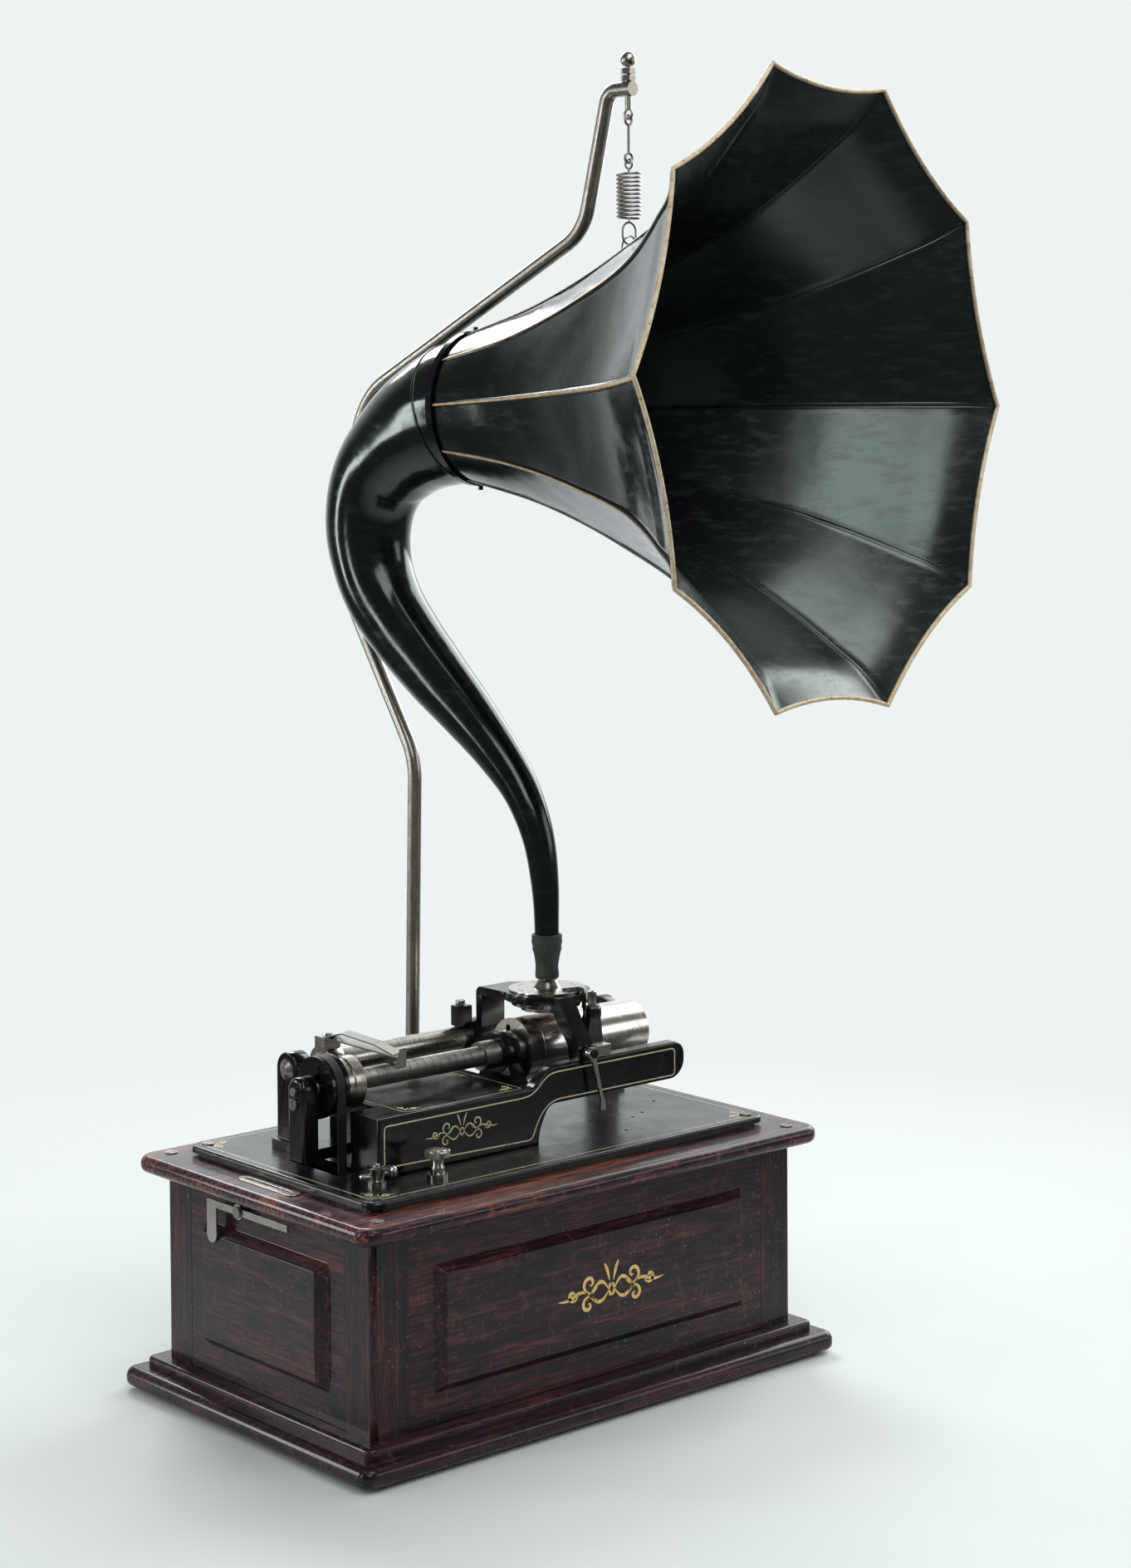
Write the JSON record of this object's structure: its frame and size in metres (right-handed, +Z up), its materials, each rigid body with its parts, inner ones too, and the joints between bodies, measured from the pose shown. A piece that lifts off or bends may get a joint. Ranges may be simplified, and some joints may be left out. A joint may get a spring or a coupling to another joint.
{
  "type": "wind-up cylinder phonograph",
  "caption": "Table-top wind-up cylinder phonograph: oak case, open black cast works with a travelling arm, and a panelled swan-neck horn hung from a crane.",
  "frame": {"origin": "on the surface the case stands on, under the middle of the case", "axes": "+Z up; -Y towards the case's front board; +X along the mandrel towards its free end"},
  "size_m": [0.5498, 0.5204, 0.9563],
  "materials": {
    "oak": "dark red-brown quarter-sawn oak under worn shellac",
    "oak_inside": "plain pale oak, unfinished",
    "felt": "dark green felt",
    "nickel": "worn nickel plate, slightly yellowed",
    "japan": "glossy black japan with fine gilt lines",
    "steel": "bright turned steel",
    "spring_steel": "polished strip and wire",
    "brass": "brass, a little tarnished",
    "leather": "oiled leather belting",
    "rubber": "aged grey-green rubber",
    "horn": "glossy near-black enamel, gilt lines on the seams",
    "gilt": "gilt rim bead",
    "iron": "dark plain iron",
    "handle": "dark varnished hardwood"
  },
  "bodies": {
    "case": {"base_moulding": "oak", "feet": "felt", "bottom_board": "oak_inside", "corner_posts": "oak", "front_board": "oak", "rear_board": "oak", "left_board": "oak", "right_board": "oak", "top_board": "oak", "case_screws": "nickel", "slot_plates": "nickel", "bedplate": "japan", "main_casting": "japan", "shaft_yoke": "japan", "rod_supports": "japan", "back_rod": "steel", "centre_screws": "nickel", "mandrel_bearing": "japan", "drive_belt": "leather", "crane_bracket": "nickel", "control_bushes": "nickel", "crank_escutcheon": "nickel", "motor_plates": "iron", "motor_frame": "iron"},
    "mandrel": {"feed_screw": "steel", "mandrel": "nickel", "upper_pulley": "japan", "pulley_ring": "nickel"},
    "barrel": {"spring_barrel": "brass", "mainspring": "spring_steel"},
    "idler": {"idler_arbor": "brass"},
    "lower_pulley": {"pulley_arbor": "steel"},
    "governor": {"governor": "brass"},
    "crank": {"crank": "nickel"},
    "handle": {"crank_handle": "handle"},
    "winder": {"winding_arbor": "steel"},
    "carriage": {"carriage_sleeve": "nickel"},
    "carriage_arm": {"carriage_arm": "japan", "half_nut_arm": "nickel", "half_nut": "nickel", "reproducer_clamps": "nickel", "reproducer_body": "nickel"},
    "weight": {"reproducer_weight": "nickel"},
    "clamp": {"clamp_screw": "nickel"},
    "lever": {"lift_lever": "nickel"},
    "connector": {"horn_connector": "rubber"},
    "horn": {"horn_bell": "horn", "horn_rim": "gilt", "horn_neck": "horn", "joint_ring": "horn", "horn_eye": "nickel"},
    "crane": {"crane_rod": "nickel", "crane_finial": "nickel"},
    "hanger": {"hanging_link": "spring_steel", "coil_spring": "spring_steel"},
    "speed_screw": {"speed_screw": "nickel"},
    "start_lever": {"start_lever": "nickel"},
    "left_latch": {"left_latch": "nickel"},
    "right_latch": {"right_latch": "nickel"}
  },
  "joints": [
    {"name": "mandrel_spin", "type": "hinge", "parent": "case", "child": "mandrel", "pos_m": [0, -0.005, 0.232], "axis": [1, 0, 0], "continuous": true},
    {"name": "barrel_spin", "type": "hinge", "parent": "case", "child": "barrel", "pos_m": [0, 0.045, 0.095], "axis": [1, 0, 0], "continuous": true},
    {"name": "idler_spin", "type": "hinge", "parent": "case", "child": "idler", "pos_m": [0, 0.00271, 0.07961], "axis": [1, 0, 0], "continuous": true},
    {"name": "pulley_spin", "type": "hinge", "parent": "case", "child": "lower_pulley", "pos_m": [0, -0.01129, 0.10386], "axis": [1, 0, 0], "continuous": true},
    {"name": "governor_spin", "type": "hinge", "parent": "case", "child": "governor", "pos_m": [0, -0.02947, 0.11436], "axis": [1, 0, 0], "continuous": true},
    {"name": "crank_turn", "type": "hinge", "parent": "case", "child": "crank", "pos_m": [0.1, 0.005, 0.095], "axis": [1, 0, 0], "continuous": true},
    {"name": "winding_spin", "type": "hinge", "parent": "case", "child": "winder", "pos_m": [0, 0.045, 0.095], "axis": [1, 0, 0], "continuous": true},
    {"name": "handle_spin", "type": "hinge", "parent": "crank", "child": "handle", "pos_m": [0.265, 0.081, 0.095], "axis": [1, 0, 0], "continuous": true},
    {"name": "carriage_slide", "type": "slide", "parent": "case", "child": "carriage", "axis": [1, 0, 0], "range_m": [-0.014, 0.07]},
    {"name": "carriage_lift", "type": "hinge", "parent": "carriage", "child": "carriage_arm", "pos_m": [0, 0.047, 0.234], "axis": [-1, 0, 0], "range_deg": [0, 3.5]},
    {"name": "weight_hinge", "type": "hinge", "parent": "carriage_arm", "child": "weight", "pos_m": [0.0576, 0.0175, 0.2594], "axis": [1, 0, 0], "range_deg": [-3, 0]},
    {"name": "clamp_turn", "type": "hinge", "parent": "carriage_arm", "child": "clamp", "pos_m": [0.071, -0.04, 0.262], "axis": [0, 0, 1], "range_deg": [-180, 180]},
    {"name": "lever_swing", "type": "hinge", "parent": "carriage_arm", "child": "lever", "pos_m": [0.0477, -0.0675, 0.2356], "axis": [0, -1, 0], "range_deg": [-25, 60]},
    {"name": "connector_tilt", "type": "hinge", "parent": "carriage_arm", "child": "connector", "pos_m": [0.0576, -0.005, 0.285], "axis": [1, 0, 0], "range_deg": [0, 3.5]},
    {"name": "horn_turn", "type": "hinge", "parent": "connector", "child": "horn", "pos_m": [0.0576, -0.005, 0.31], "axis": [0, 0, 1], "range_deg": [-2, 2]},
    {"name": "crane_swivel", "type": "hinge", "parent": "case", "child": "crane", "pos_m": [0.0471, 0.145, 0.11], "axis": [0, 0, 1], "range_deg": [-3.4, 16.6]},
    {"name": "hanger_swing", "type": "hinge", "parent": "crane", "child": "hanger", "pos_m": [0.07328, -0.08345, 0.914], "axis": [-0.9935, -0.1138, 0], "range_deg": [-1.9, 8.9]},
    {"name": "speed_turn", "type": "hinge", "parent": "case", "child": "speed_screw", "pos_m": [-0.109, -0.084, 0.185], "axis": [0, 0, 1], "range_deg": [-180, 180]},
    {"name": "start_swing", "type": "hinge", "parent": "case", "child": "start_lever", "pos_m": [-0.149, -0.068, 0.182], "axis": [0, 0, 1], "range_deg": [-40, 0]},
    {"name": "left_latch_rock", "type": "hinge", "parent": "case", "child": "left_latch", "pos_m": [-0.2016, 0.02, 0.1495], "axis": [1, 0, 0], "range_deg": [-4, 6]},
    {"name": "right_latch_rock", "type": "hinge", "parent": "case", "child": "right_latch", "pos_m": [0.2016, 0.02, 0.1495], "axis": [1, 0, 0], "range_deg": [-4, 6]}
  ],
  "couplings": [
    {"joint": "barrel_spin", "follows": "mandrel_spin", "ratio": 0.027778},
    {"joint": "idler_spin", "follows": "mandrel_spin", "ratio": -0.22222},
    {"joint": "pulley_spin", "follows": "mandrel_spin", "ratio": 1.3333},
    {"joint": "governor_spin", "follows": "mandrel_spin", "ratio": -8},
    {"joint": "winding_spin", "follows": "crank_turn", "ratio": -0.33333},
    {"joint": "connector_tilt", "follows": "carriage_lift", "ratio": 1},
    {"joint": "crane_swivel", "follows": "carriage_slide", "rad_per_m": 4.1},
    {"joint": "hanger_swing", "follows": "carriage_slide", "rad_per_m": 2.2}
  ]
}
